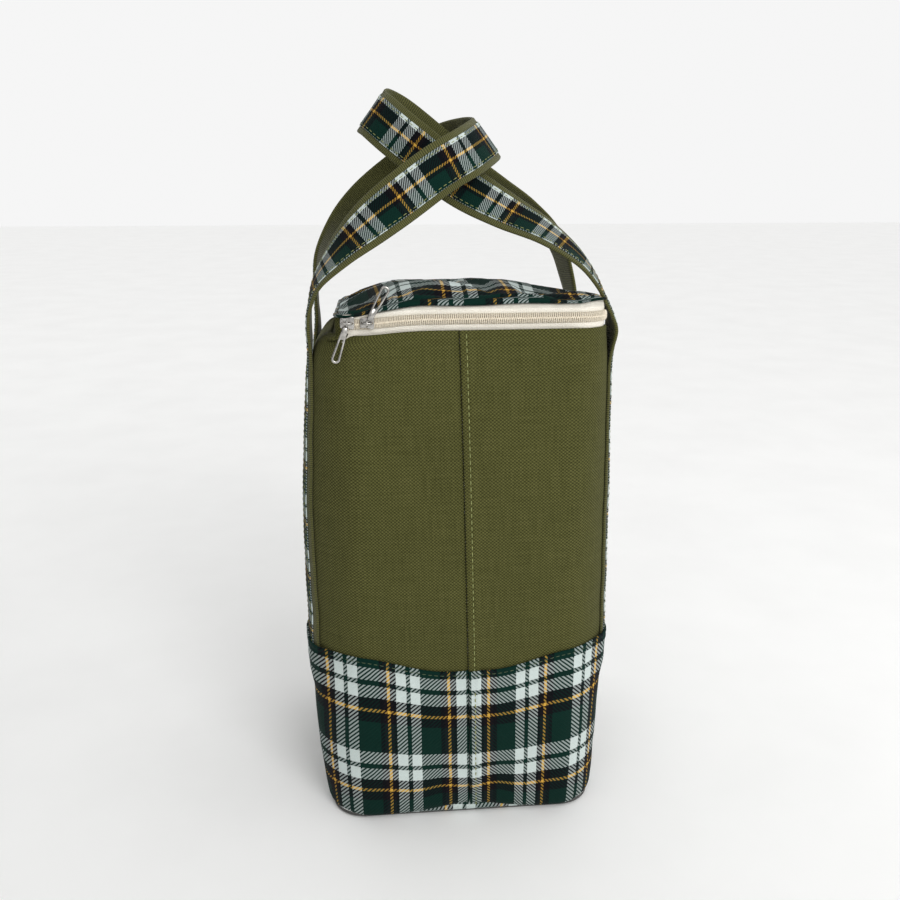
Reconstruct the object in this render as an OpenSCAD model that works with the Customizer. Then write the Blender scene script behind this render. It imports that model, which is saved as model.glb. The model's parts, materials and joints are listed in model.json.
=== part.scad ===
// Tall insulated carry bag with a hinged zip lid and two crossed carrying handles.
// Frame: origin at the centre of the base on the floor, +X right, +Y back, +Z up.
// The lid hinge is on the left (-X) side; the zip runs round the other three sides.

/* [Body] */
// Outer width and depth of the canvas walls
body_w = 180; // [170:1:190]
// Height of the top edge of the canvas
body_h = 330; // [300:1:360]
// Radius of the upright corners
corner_r = 24; // [20:1:24]
// Thickness of the canvas and of the plaid cloth
cloth_t = 1.2; // [1:0.1:1.4]
// Height of the plaid band round the base
band_h = 108; // [80:1:140]

/* [Insulation] */
// Thickness of the wall and base foam
foam_t = 5; // [4:0.5:6]
// Thickness of the inner liner
liner_t = 0.8; // [0.6:0.1:1]
// Thickness of the stiffening board in the base
board_t = 2.4; // [2:0.1:3]

/* [Lid and zip] */
// How far the zip tape stands inside the canvas
zip_inset = 4; // [4:0.5:4.5]
// Width of the visible tape from the canvas to the lid
zip_band_h = 14; // [13.6:0.1:17]
// Rise of the padded top above the lid's edge
dome_h = 12; // [8:1:16]
// Radius of the lid's right-hand corners
lid_r = 20; // [16:1:24]
// Radius of the lid's left-hand corners
lid_hinge_r = 10; // [8:1:12]
// Length of a slider along the zip
slider_l = 9; // [8:0.5:9]
// Length of a pull tab below its eye
pull_l = 22; // [20:1:30]

/* [Straps] */
// Width of the webbing
webbing_w = 30; // [26:1:34]
// Thickness of the webbing
webbing_t = 2; // [1.6:0.1:2.2]
// Width of the plaid ribbon sewn on the webbing
ribbon_w = 22; // [18:1:24]
// Thickness of the ribbon
ribbon_t = 0.8; // [0.6:0.1:1]
// Distance of a strap's centre line from the middle of its face
strap_y = 57; // [52:1:58]
// Height at which a handle leaves the face and swings
handle_z = 320; // [290:1:324]

/* [Hidden] */
$fn = 48;

// Clearance between neighbouring layers
gap = 0.05;
// Reach of the boxes that cut a wall, past any side of the part
far = 200;
half = body_w / 2;
band_skin = half + gap;
foam_out = half - cloth_t - gap;
foam_in = foam_out - foam_t;
liner_out = foam_in - gap;
liner_in = liner_out - liner_t;
base_t = 1.5;
board_z = base_t + gap;
base_foam_z = board_z + board_t + gap;
floor_z = base_foam_z + foam_t + gap;
foam_top = body_h - 4;

// Zip section, from the canvas inwards
tape_t = 0.5;
tape_out = half - zip_inset;
tape_in = tape_out - tape_t;
coil_out = tape_out + 1.6;
coil_h = 2.7;
coil_gap = 1.2;
coil_end = 2.2;
zip_z = body_h + 6.4;
zip_end_inset = 10;
zip_left = -(tape_out - zip_end_inset);
lid_z = body_h + zip_band_h;
panel_out = tape_out + 1.3;
panel_in = tape_out + 0.1;
lid_foam_z = zip_z + 5.6;

// Hinge strip and the two slider stations on the near side
strip_x = -(half - 3.3);
slider_a_x = -69.4;
slider_b_x = -58;
plate_y = -(coil_out + 0.3);
plate_t = 1.1;
bar_y = plate_y - plate_t - 2.5;
bar_r = 0.7;
eye_in = 1.15;
eye_out = 2.2;
pull_w = 7.5;
pull_t = 1.2;

// Strap faces
webbing_x = half + 0.1;
ribbon_x = webbing_x + webbing_t + gap;
strap_mid_x = webbing_x + webbing_t / 2;

// Routes of the near half of each handle, root to top: x, y, z and degrees of twist.
// The webbing lies flat to its face at the root and has turned on edge at the crossing.
left_route = [
    [-strap_mid_x, -strap_y, handle_z + 1, 0],
    [-strap_mid_x - 0.9, -strap_y, handle_z + 7, 0],
    [-95, -58, 340, 2],
    [-90, -60, 357, 12],
    [-74, -62, 375, 35],
    [-54, -61, 391, 60],
    [-33, -57, 407, 80],
    [-13, -52, 422, 90],
    [5, -44, 433, 90],
    [17, -25, 440, 90],
    [21, 0, 443, 90]
];
right_route = [
    [strap_mid_x, -strap_y, handle_z + 1, 0],
    [strap_mid_x + 1.3, -strap_y, handle_z + 7, 0],
    [97, -58, 340, 2],
    [92, -60, 356, 12],
    [76, -58, 371, 35],
    [53, -52, 384, 60],
    [28, -43, 397, 80],
    [4, -34, 412, 90],
    [-18, -28, 430, 90],
    [-37, -22, 446, 90],
    [-48, -12, 456, 90],
    [-51, 0, 459, 90]
];
// Lean of each handle's top, in degrees from upright
lean = 37;

canvas_col = [0.33, 0.33, 0.19];
plaid_col = [0.05, 0.22, 0.17];
webbing_col = [0.48, 0.47, 0.31];
tape_col = [0.92, 0.90, 0.84];
liner_col = [0.78, 0.79, 0.80];
foam_col = [0.93, 0.93, 0.93];
metal_col = [0.75, 0.75, 0.76];

// ---- Plan outlines ----

// Square outline with its own corner radius on the left and on the right
module plan(h, rl, rr) {
    translate([-h + rl, -h]) square([2 * h - rl - rr, 2 * h]);
    translate([-h, -h + rl]) square([rl + 1, 2 * h - 2 * rl]);
    translate([h - rr - 1, -h + rr]) square([rr + 1, 2 * h - 2 * rr]);
    for (s = [-1, 1]) {
        translate([-h + rl, s * (h - rl)]) circle(rl);
        translate([h - rr, s * (h - rr)]) circle(rr);
    }
}

module body_plan(h) {
    r = corner_r + h - half;
    plan(h, r, r);
}

module lid_plan(h) {
    plan(h, lid_hinge_r + h - tape_out, lid_r + h - tape_out);
}

module body_wall(outer, inner, z0, z1) {
    translate([0, 0, z0]) linear_extrude(z1 - z0) difference() {
        body_plan(outer);
        body_plan(inner);
    }
}

// One side of a wall, cut at the centre seams
module half_wall(side, outer, inner, z0, z1) {
    intersection() {
        body_wall(outer, inner, z0, z1);
        translate([side > 0 ? gap / 2 : -far - gap / 2, -far, z0 - 1]) cube([far, 2 * far, z1 - z0 + 2]);
    }
}

// The three sides of the lid outline that the zip follows
module zip_wall(outer, inner, z0, z1, x0) {
    intersection() {
        translate([0, 0, z0]) linear_extrude(z1 - z0) difference() {
            lid_plan(outer);
            lid_plan(inner);
        }
        translate([x0, -far, z0 - 1]) cube([2 * far, 2 * far, z1 - z0 + 2]);
    }
}

// ---- Base ----

module base_panel() {
    color(plaid_col) linear_extrude(base_t) body_plan(half);
}

module base_board() {
    color("dimgray") translate([0, 0, board_z]) linear_extrude(board_t) body_plan(foam_out);
}

module base_foam() {
    color(foam_col) translate([0, 0, base_foam_z]) linear_extrude(foam_t) body_plan(foam_out);
}

module liner_base() {
    color(liner_col) translate([0, 0, floor_z]) linear_extrude(liner_t) body_plan(liner_in - gap);
}

// ---- Walls ----

module canvas_panel(side) {
    color(canvas_col) half_wall(side, half, half - cloth_t, board_z, body_h);
}

module band_panel(side) {
    color(plaid_col) half_wall(side, band_skin + cloth_t, band_skin, 0, band_h);
}

module foam_wall(side) {
    color(foam_col) half_wall(side, foam_out, foam_in, floor_z, foam_top);
}

module liner_wall() {
    color(liner_col) body_wall(liner_out, liner_in, floor_z, body_h);
}

module rim_binding() {
    color(liner_col) translate([0, 0, foam_top + gap]) linear_extrude(body_h - foam_top - 2 * gap) {
        difference() {
            body_plan(foam_out);
            lid_plan(tape_out + gap);
        }
    }
}

// ---- Zip ----

module zip_tape_body() {
    color(tape_col) zip_wall(tape_out, tape_in, foam_top + gap, zip_z - coil_gap / 2, zip_left);
}

module zip_coil_body() {
    color(tape_col) zip_wall(coil_out, tape_out + gap, zip_z - coil_gap / 2 - coil_h, zip_z - coil_gap / 2,
                             zip_left + coil_end);
}

module zip_stop(side) {
    color(metal_col) translate([zip_left - 0.2, side * (tape_out + gap + 1), zip_z - 2])
        cube([2.1, 2, 3.6], center = true);
}

module zip_tape_lid() {
    color(tape_col) zip_wall(tape_out, tape_in, zip_z + coil_gap / 2, lid_z, zip_left);
}

module zip_coil_lid() {
    color(tape_col) zip_wall(coil_out, tape_out + gap, zip_z + coil_gap / 2, zip_z + coil_gap / 2 + coil_h,
                             zip_left + coil_end);
}

module lid_hinge_strip() {
    color(canvas_col) translate([strip_x - 0.5, -(tape_out - lid_hinge_r - 4), body_h + gap])
        cube([1, 2 * (tape_out - lid_hinge_r - 4), zip_z - body_h + 0.6]);
}

// ---- Lid ----

// Padded top: outlines that draw in as they rise, drop mm inside the outer surface
module dome(h, z0, drop) {
    steps = [[0, 0], [1.5, 0.35], [5, 0.62], [12, 0.84], [24, 0.96], [40, 1]];
    hull() {
        translate([0, 0, z0]) linear_extrude(0.1) lid_plan(h);
        for (s = steps)
            translate([0, 0, lid_z + 1.4 + s[1] * dome_h - drop]) linear_extrude(0.05) {
                inset = min(s[0], lid_hinge_r - 4);
                offset(delta = inset - s[0]) lid_plan(h - inset, $fn = 24);
            }
    }
}

module lid_panel() {
    color(plaid_col) difference() {
        dome(panel_out, lid_z, 0);
        dome(panel_in, lid_z - 1, cloth_t);
    }
}

module lid_foam() {
    color(foam_col) intersection() {
        dome(tape_in - gap, lid_foam_z, cloth_t + 0.2);
        translate([-far, -far, lid_foam_z]) cube([2 * far, 2 * far, far]);
    }
}

module lid_liner() {
    color(liner_col) translate([0, 0, lid_foam_z - gap - liner_t]) linear_extrude(liner_t)
        lid_plan(tape_in - gap);
}

// ---- Straps ----

// Flat run of a strap on its face, from the band up to the swing line
module strap_run(side, end, x0, thick, width) {
    low = band_h + 0.3;
    translate([side > 0 ? x0 : -x0 - thick, end * strap_y - width / 2, low])
        cube([thick, width, handle_z - low]);
}

module webbing_run(side, end) {
    color(webbing_col) strap_run(side, end, webbing_x, webbing_t, webbing_w);
}

module ribbon_run(side, end) {
    color(plaid_col) strap_run(side, end, ribbon_x, ribbon_t, ribbon_w);
}

function unit(v) = v / norm(v);
// Smooth curve between the second and third of four control points
function between(a, b, c, d, t) = 0.5 * ((2 * b) + (c - a) * t + (2 * a - 5 * b + 4 * c - d) * t * t
                                         + (3 * b - a - 3 * c + d) * t * t * t);
function mirrored(p) = [p[0], -p[1], p[2], p[3]];
// Control points of the whole loop: the near half and its mirror image
function loop_points(route) = concat(route, [for (i = [len(route) - 2:-1:0]) mirrored(route[i])]);
function at(pts, i) = pts[max(0, min(len(pts) - 1, i))];
steps_per_point = 6;
ribbon_lift = 0.3;
function smooth(pts) = concat(
    [for (i = [0:len(pts) - 2]) for (k = [0:steps_per_point - 1])
        between(at(pts, i - 1), pts[i], pts[i + 1], at(pts, i + 2), k / steps_per_point)],
    [pts[len(pts) - 1]]);
function place(p) = [p[0], p[1], p[2]];
function along(pts, i) = unit(place(at(pts, i + 1)) - place(at(pts, i - 1)));
// Direction across the webbing: sideways at the root, turned on edge at the top
function across(p, t, half_sign, side) = let (
    w = [side * sin(lean) * sin(p[3]), half_sign * cos(p[3]), cos(lean) * sin(p[3])],
    flat = w - (w * t) * t) unit(flat);

// Band of rectangular section swept along a smoothed route, offset to its outer side
module sweep_band(route, side, width, inner, outer) {
    pts = smooth(loop_points(route));
    n = len(pts);
    rings = [for (i = [0:n - 1]) let (
        t = along(pts, i),
        w = across(pts[i], t, i < n / 2 ? 1 : -1, side),
        out = -side * cross(t, w),
        c = place(pts[i]))
        for (q = [[-1, inner], [1, inner], [1, outer], [-1, outer]])
            c + w * (q[0] * width / 2) + out * q[1]];
    turn = side > 0 ? [0, 1, 2, 3] : [3, 2, 1, 0];
    faces = concat(
        [[turn[0], turn[1], turn[2], turn[3]]],
        [for (i = [0:n - 2]) for (k = [0:3]) let (a = turn[k], b = turn[(k + 1) % 4])
            each k < 2 ? [[4 * i + b, 4 * i + a, 4 * i + 4 + a], [4 * i + b, 4 * i + 4 + a, 4 * i + 4 + b]]
                       : [[4 * i + b, 4 * i + a, 4 * i + 4 + b], [4 * i + a, 4 * i + 4 + a, 4 * i + 4 + b]]],
        [[for (k = [3:-1:0]) 4 * (n - 1) + turn[k]]]);
    polyhedron(points = rings, faces = faces, convexity = 6);
}

module handle_webbing(side) {
    color(webbing_col) sweep_band(side > 0 ? right_route : left_route, side, webbing_w,
                                  -webbing_t / 2, webbing_t / 2);
}

module handle_ribbon(side) {
    low = webbing_t / 2 + ribbon_lift;
    color(plaid_col) sweep_band(side > 0 ? right_route : left_route, side, ribbon_w, low, low + ribbon_t);
}

// ---- Sliders and pulls ----

// Two plates joined by a neck between the coils, with a bridge bar along the zip.
// The edge towards the lid is open, so that the lid's coil lifts out.
module slider(x) {
    plate_h = 7.6;
    back_y = -(tape_in - 0.3);
    back_t = 1;
    leg = 1.2;
    color(metal_col) translate([x, 0, zip_z]) {
        translate([-slider_l / 2, plate_y - plate_t, -plate_h / 2]) cube([slider_l, plate_t, plate_h]);
        translate([-slider_l / 2, back_y, -plate_h / 2]) cube([slider_l, back_t, plate_h]);
        translate([-slider_l / 2, plate_y - 0.1, -coil_gap / 2 + 0.2])
            cube([2, back_y - plate_y + 0.2, coil_gap - 0.4]);
        for (s = [-1, 1])
            translate([s * (slider_l / 2 - leg / 2) - leg / 2, bar_y - bar_r, -bar_r])
                cube([leg, plate_y - plate_t - bar_y + bar_r + 0.1, 2 * bar_r]);
        translate([-slider_l / 2 + leg / 2, bar_y, 0]) rotate([0, 90, 0])
            cylinder(h = slider_l - leg, r = bar_r);
    }
}

// Eye round the bridge bar with a slotted tab below it, turned in its own plane by skew
module pull(skew) {
    eye_w = 1.6;
    rim_w = 1.6;
    neck_l = 3;
    shoulder_l = 3;
    shoulder_in = 1.5;
    body_top = 3.5;
    slot_l = pull_l - 14;
    end_z = -eye_out - pull_l + pull_w / 2;
    color(metal_col) {
        rotate([0, 90, 0]) difference() {
            cylinder(h = eye_w, r = eye_out, center = true);
            cylinder(h = eye_w + 1, r = eye_in, center = true);
        }
        rotate([0, skew, 0]) rotate([90, 0, 0]) translate([0, 0, -pull_t / 2]) linear_extrude(pull_t)
            difference() {
                union() {
                    translate([-eye_w / 2, -eye_out - neck_l]) square([eye_w, neck_l + 0.6]);
                    translate([-pull_w / 2 + shoulder_in, -eye_out - neck_l - 2])
                        square([pull_w - 2 * shoulder_in, shoulder_l]);
                    translate([-pull_w / 2, end_z]) square([pull_w, pull_l - pull_w / 2 - body_top]);
                    translate([0, end_z]) circle(pull_w / 2);
                }
                translate([0, end_z]) circle(pull_w / 2 - rim_w);
                translate([-pull_w / 2 + rim_w, end_z]) square([pull_w - 2 * rim_w, slot_l]);
            }
    }
}

// Degrees that each pull turns aside in its own plane
pull_a_skew = 14;
pull_b_skew = 30;
// Degrees that the upper pull leans in towards the lid
pull_b_lean = 4;

module pull_a_tab() {
    translate([slider_a_x, bar_y, zip_z]) pull(pull_a_skew);
}

module pull_b_tab() {
    translate([slider_b_x, bar_y, zip_z]) rotate([180 - pull_b_lean, 0, 0]) pull(-pull_b_skew);
}

base_panel();
base_board();
base_foam();
liner_base();
canvas_panel(-1);  // canvas_left_panel
canvas_panel(1);  // canvas_right_panel
band_panel(-1);  // band_left_panel
band_panel(1);  // band_right_panel
foam_wall(-1);  // foam_left
foam_wall(1);  // foam_right
liner_wall();
rim_binding();
zip_tape_body();
zip_coil_body();
zip_stop(-1);  // zip_stop_near
zip_stop(1);  // zip_stop_far
lid_hinge_strip();
webbing_run(-1, -1);  // strap_left_near_webbing
webbing_run(-1, 1);  // strap_left_far_webbing
webbing_run(1, -1);  // strap_right_near_webbing
webbing_run(1, 1);  // strap_right_far_webbing
ribbon_run(-1, -1);  // strap_left_near_ribbon
ribbon_run(-1, 1);  // strap_left_far_ribbon
ribbon_run(1, -1);  // strap_right_near_ribbon
ribbon_run(1, 1);  // strap_right_far_ribbon
lid_panel();
lid_foam();
lid_liner();
zip_tape_lid();
zip_coil_lid();
handle_webbing(-1);  // handle_left_webbing
handle_ribbon(-1);  // handle_left_ribbon
handle_webbing(1);  // handle_right_webbing
handle_ribbon(1);  // handle_right_ribbon
slider(slider_a_x);  // slider_a_body
slider(slider_b_x);  // slider_b_body
pull_a_tab();
pull_b_tab();
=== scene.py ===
import json
import math

import bmesh
import bpy
import numpy as np
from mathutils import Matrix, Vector, noise


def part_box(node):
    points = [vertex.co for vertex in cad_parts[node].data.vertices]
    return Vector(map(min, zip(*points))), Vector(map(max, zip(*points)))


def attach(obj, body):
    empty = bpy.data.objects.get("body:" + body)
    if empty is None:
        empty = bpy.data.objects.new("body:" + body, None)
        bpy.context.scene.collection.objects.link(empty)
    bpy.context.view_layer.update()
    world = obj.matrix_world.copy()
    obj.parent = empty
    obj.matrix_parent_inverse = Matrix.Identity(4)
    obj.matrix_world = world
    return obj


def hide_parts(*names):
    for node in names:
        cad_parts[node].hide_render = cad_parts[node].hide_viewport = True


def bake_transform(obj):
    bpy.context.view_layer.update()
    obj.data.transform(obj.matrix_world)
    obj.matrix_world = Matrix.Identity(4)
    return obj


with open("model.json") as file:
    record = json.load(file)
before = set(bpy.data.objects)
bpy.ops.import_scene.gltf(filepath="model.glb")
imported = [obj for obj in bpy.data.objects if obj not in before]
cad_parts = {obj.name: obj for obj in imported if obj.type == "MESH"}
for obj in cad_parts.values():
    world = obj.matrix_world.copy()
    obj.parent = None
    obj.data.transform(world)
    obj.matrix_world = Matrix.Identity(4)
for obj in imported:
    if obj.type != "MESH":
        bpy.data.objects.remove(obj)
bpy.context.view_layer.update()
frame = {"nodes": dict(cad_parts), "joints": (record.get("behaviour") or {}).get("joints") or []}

MM = 0.001

# ---- Sizes read from the frame ----

HALF, _, BODY_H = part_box("canvas_right_panel")[1]
BAND_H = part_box("band_right_panel")[1][2]
tape_low, tape_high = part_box("zip_tape_body")
TAPE_HALF = tape_high[0]
ZIP_LEFT = tape_low[0]
lid_low, lid_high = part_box("lid_panel")
LID_EDGE = lid_low[2]
LID_HALF = lid_high[0]
coil_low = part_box("zip_coil_body")[0]
COIL_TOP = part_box("zip_coil_lid")[1][2]
COIL_FRONT = coil_low[1]
ZIP_Z = (COIL_TOP + coil_low[2]) / 2
run_low, run_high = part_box("strap_left_far_webbing")
STRAP_Y = (run_low[1] + run_high[1]) / 2
WEBBING_W = run_high[1] - run_low[1]
ribbon_low, ribbon_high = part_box("strap_left_far_ribbon")
RIBBON_W = ribbon_high[1] - ribbon_low[1]
LINER_HALF, _, FLOOR_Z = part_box("liner_base")[1]
CORNER_R = 28 * MM
LID_R = 20 * MM
LID_HINGE_R = 10 * MM
SIDES = ((-1, "left"), (1, "right"))


# ---- Small helpers ----

def joint_place(name):
    return Vector(next(j for j in frame["joints"] if j["name"] == name)["pos_m"])


def rows_at(base, *rows):
    """Rows of (height over base, how far in or out, more), from heights and reaches in millimetres."""
    return [(base + z * MM, reach * MM, *more) for z, reach, *more in rows]


def smooth(t):
    """Eases from 0 to 1 as t does."""
    t = min(max(t, 0.0), 1.0)
    return t * t * (3 - 2 * t)


def bump(x, width):
    return math.exp(-(x / width) ** 2)


def soft_noise(x, y, z, scale):
    return noise.noise(Vector((x, y, z)) / scale)


def make_object(name, verts, faces, material, uvs=None):
    mesh = bpy.data.meshes.new(name)
    mesh.from_pydata([tuple(v) for v in verts], [], faces)
    mesh.update()
    if uvs is not None:
        layer = mesh.uv_layers.new(name="fabric")
        loops = np.zeros(len(mesh.loops), int)
        mesh.loops.foreach_get("vertex_index", loops)
        layer.data.foreach_set("uv", np.array(uvs, float)[loops].ravel())
    mesh.polygons.foreach_set("use_smooth", [True] * len(mesh.polygons))
    mesh.materials.append(material)
    obj = bpy.data.objects.new(name, mesh)
    bpy.context.scene.collection.objects.link(obj)
    return obj


def grid(name, rows, material, uvs=None, closed=True, caps=False):
    """A skin through rows of points; closed joins the ends of each row."""
    n, m = len(rows), len(rows[0])
    verts = [p for row in rows for p in row]
    flat_uv = [p for row in uvs for p in row] if uvs else [(0, 0)] * len(verts)
    faces = []
    for i in range(n - 1):
        for j in range(m if closed else m - 1):
            k = (j + 1) % m
            faces.append((i * m + j, i * m + k, (i + 1) * m + k, (i + 1) * m + j))
    if caps:
        faces.append(tuple(range(m - 1, -1, -1)))
        faces.append(tuple(range((n - 1) * m, n * m)))
    return make_object(name, verts, faces, material, flat_uv)


def ring_edges(first, last, count):
    """Edges of every ring of count points between the vertices first and last."""
    return [(r + k, r + (k + 1) % count) for r in range(first, last, count) for k in range(count)]


def flat_uvs(points):
    return [[(p.x, p.y) for p in line] for line in points]


def solidify(obj, thickness):
    mod = obj.modifiers.new("thickness", "SOLIDIFY")
    mod.thickness = thickness
    mod.offset = -1.0
    mod.use_even_offset = False
    return obj


def place(obj, body, slot, *nodes):
    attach(obj, body)
    if nodes:
        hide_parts(*nodes)


def half_length(half, r):
    """Length of half a square outline with rounded corners, from centre front to centre back."""
    return 4 * (half - r) + math.pi * r


def outline(s, half, r_left, r_right):
    """Point and outward normal of the plan outline, s metres from the front centre towards +X."""
    left = half_length(half, r_left)
    s = (s + left) % (left + half_length(half, r_right)) - left
    sign, r = (1.0, r_right) if s >= 0 else (-1.0, r_left)
    s = abs(s)
    straight = half - r
    arc = math.pi / 2 * r
    if s <= straight:
        return sign * s, -half, 0.0, -1.0
    s -= straight
    if s <= arc:
        nx, ny = math.sin(s / r), -math.cos(s / r)
        return sign * (straight + r * nx), r * ny - straight, sign * nx, ny
    s -= arc
    if s <= 2 * straight:
        return sign * half, s - straight, sign, 0.0
    s -= 2 * straight
    if s <= arc:
        nx, ny = math.cos(s / r), math.sin(s / r)
        return sign * (straight + r * nx), straight + r * ny, sign * nx, ny
    return sign * (straight - s + arc), half, 0.0, 1.0


def evenly(length, count):
    """Even places round an outline from its centre back, given half the outline's length."""
    return [-length + 2 * length * i / count for i in range(count)]


def lid_ring(half, count):
    """Even places round the lid's plan from its centre back: s, point and outward normal."""
    left = half_length(half, LID_HINGE_R)
    total = left + half_length(half, LID_R)
    around = [total * j / count - left for j in range(count)]
    return [(s, *outline(s, half, LID_HINGE_R, LID_R)) for s in around]


# ---- Materials ----

def lin(r, g, b):
    def one(c):
        c /= 255
        return c / 12.92 if c <= 0.04045 else ((c + 0.055) / 1.055) ** 2.4
    return (one(r), one(g), one(b), 1.0)


class Nodes:
    """Short calls for building one material's node tree."""

    def __init__(self, name):
        self.material = bpy.data.materials.new(name)
        self.material.use_nodes = True
        self.tree = self.material.node_tree
        self.tree.nodes.clear()
        out = self.node("OutputMaterial")
        self.shader = self.node("BsdfPrincipled")
        self.tree.links.new(self.shader.outputs[0], out.inputs[0])

    def node(self, kind, **values):
        """Adds a node; each value goes to the input of that name."""
        node = self.tree.nodes.new("ShaderNode" + kind)
        for key, value in values.items():
            self.put(node.inputs[key], value)
        return node

    def put(self, socket, value):
        """Links a node's output to the socket, or sets a plain value on it."""
        if hasattr(value, "is_output"):
            self.tree.links.new(value, socket)
        else:
            socket.default_value = value

    def set(self, **values):
        for key, value in values.items():
            self.put(self.shader.inputs[key.replace("_", " ")], value)

    def math(self, op, *values):
        node = self.node("Math")
        node.operation = op
        for socket, value in zip(node.inputs, values):
            self.put(socket, value)
        return node.outputs[0]

    def plus(self, a, b):
        return self.math("ADD", a, b)

    def times(self, a, b):
        return self.math("MULTIPLY", a, b)

    def affine(self, value, factor, offset):
        return self.math("MULTIPLY_ADD", value, factor, offset)

    def cloth(self):
        """Place on the flat cloth in metres: along, across, and both as a vector."""
        node = self.node("UVMap")
        node.uv_map = "fabric"
        split = self.node("SeparateXYZ", Vector=node.outputs[0])
        u, v = split.outputs[0], split.outputs[1]
        return u, v, self.join(u, v)

    def here(self):
        return self.node("TexCoord").outputs["Object"]

    def join(self, x, y, z=0.0):
        return self.node("CombineXYZ", X=x, Y=y, Z=z).outputs[0]

    def noise(self, vector, scale, detail=3.0, rough=0.55):
        return self.node("TexNoise", Vector=vector, Scale=scale, Detail=detail, Roughness=rough).outputs[0]

    def ramp(self, value, stops, constant=True):
        node = self.node("ValToRGB", Fac=value)
        ramp = node.color_ramp
        ramp.interpolation = "CONSTANT" if constant else "LINEAR"
        while len(ramp.elements) < len(stops):
            ramp.elements.new(1.0)
        for element, (position, colour) in zip(ramp.elements, stops):
            element.position = position
            element.color = colour
        return node.outputs[0]

    def mix(self, factor, a, b, mode="MIX"):
        node = self.node("Mix")
        node.data_type = "RGBA"
        node.blend_type = mode
        for index, value in ((0, factor), (6, a), (7, b)):
            self.put(node.inputs[index], value)
        return node.outputs[2]

    def wave(self, value, period):
        """Sine of value over the period, from 0 to 1."""
        turn = self.times(value, 2 * math.pi / period)
        return self.affine(self.math("SINE", turn), 0.5, 0.5)

    def shade(self, colour, value, low, high):
        """Colour times a factor that a 0 to 1 value moves from low to high."""
        factor = self.affine(value, high - low, low)
        return self.mix(1.0, colour, self.join(factor, factor, factor), "MULTIPLY")

    def bumps(self, height, depth, strength):
        self.set(Normal=self.node("Bump", Height=height, Distance=depth, Strength=strength).outputs[0])


GREEN = lin(4, 38, 31)
PLUM = lin(31, 19, 23)
NAVY = lin(7, 9, 14)
WHITE = lin(200, 211, 208)
GOLD = lin(206, 160, 66)

# One repeat across the width: share of the repeat at which each colour starts
SETT_X = [(0.0, WHITE), (0.165, GREEN), (0.235, WHITE), (0.395, GREEN), (0.73, NAVY), (0.79, PLUM),
          (0.85, GOLD), (0.895, PLUM), (0.95, NAVY)]
# One repeat down the height
SETT_Z = [(0.0, WHITE), (0.148, GREEN), (0.205, WHITE), (0.350, NAVY), (0.475, GOLD), (0.515, NAVY),
          (0.63, GREEN)]
REPEAT_X = 38 * MM
REPEAT_Z = 54 * MM


def plaid(name, u_shift=0.0, v_shift=0.0, repeat_u=REPEAT_X, repeat_v=REPEAT_Z, setts=(SETT_X, SETT_Z),
          twill_pitch=2.6 * MM):
    n = Nodes(name)
    u, v, base = n.cloth()
    drift = n.noise(base, 60, 2)
    u_in = n.affine(drift, 0.8 * MM, u)
    v_in = n.affine(drift, 0.8 * MM, v)
    across = n.math("FRACT", n.affine(u_in, 1 / repeat_u, 40 + u_shift / repeat_u))
    along = n.math("FRACT", n.affine(v_in, 1 / repeat_v, 40 + v_shift / repeat_v))
    warp = n.ramp(across, setts[0])
    weft = n.ramp(along, setts[1])
    twill = n.wave(n.plus(u, v), twill_pitch)
    steep = n.math("MAXIMUM", n.affine(twill, 2.2, -0.6), 0.0)
    over = n.math("SMOOTH_MIN", steep, 1.0, 0.05)
    # A light yarn that crosses dark ones is partly hidden by them
    cloth = n.mix(0.48, n.mix(over, warp, weft), n.mix(1.0, warp, weft, "DARKEN"))
    yarn = n.times(n.wave(u, 0.6 * MM), n.wave(v, 0.6 * MM))
    fleck = n.noise(base, 2600, 2)
    cloth = n.shade(cloth, fleck, 0.62, 1.38)
    cloth = n.shade(cloth, n.noise(base, 45, 3), 0.86, 1.12)
    height = n.plus(n.times(twill, 0.6), n.times(yarn, 0.5))
    height = n.plus(height, n.times(fleck, 0.5))
    n.bumps(height, 0.25 * MM, 0.8)
    n.set(Base_Color=cloth, Roughness=n.affine(fleck, 0.16, 0.74))
    n.set(Sheen_Weight=0.02, Sheen_Roughness=0.5, Specular_IOR_Level=0.08)
    return n.material


WARP_PITCH = 1.15 * MM
WEFT_PITCH = 1.0 * MM


def canvas(name):
    n = Nodes(name)
    u, v, base = n.cloth()
    warp = n.wave(u, WARP_PITCH)
    weft = n.wave(v, WEFT_PITCH)
    over_warp = n.math("SINE", n.times(u, math.pi / WARP_PITCH))
    over_weft = n.math("SINE", n.times(v, math.pi / WEFT_PITCH))
    checker = n.affine(n.times(over_warp, over_weft), 0.5, 0.5)
    slub_u = n.noise(n.join(n.times(u, 900), n.times(v, 40)), 1.0, 2)
    slub_v = n.noise(n.join(n.times(u, 40), n.times(v, 900)), 1.0, 2)
    slub = n.plus(n.times(slub_u, 0.5), n.times(slub_v, 0.5))
    fleck = n.noise(base, 1900, 3)
    colour = n.ramp(slub, [(0.3, lin(66, 66, 32)), (0.5, lin(75, 75, 39)), (0.72, lin(84, 83, 46))], False)
    colour = n.shade(colour, checker, 0.36, 1.64)
    colour = n.shade(colour, fleck, 0.42, 1.58)
    colour = n.shade(colour, n.noise(base, 22, 4), 0.88, 1.10)
    height = n.plus(n.times(checker, 0.7), n.times(slub, 0.8))
    height = n.plus(height, n.times(n.plus(warp, weft), 0.18))
    n.bumps(height, 0.35 * MM, 0.8)
    n.set(Base_Color=colour, Roughness=n.affine(fleck, 0.14, 0.78))
    n.set(Sheen_Weight=0.02, Sheen_Roughness=0.6, Specular_IOR_Level=0.08)
    return n.material


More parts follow.
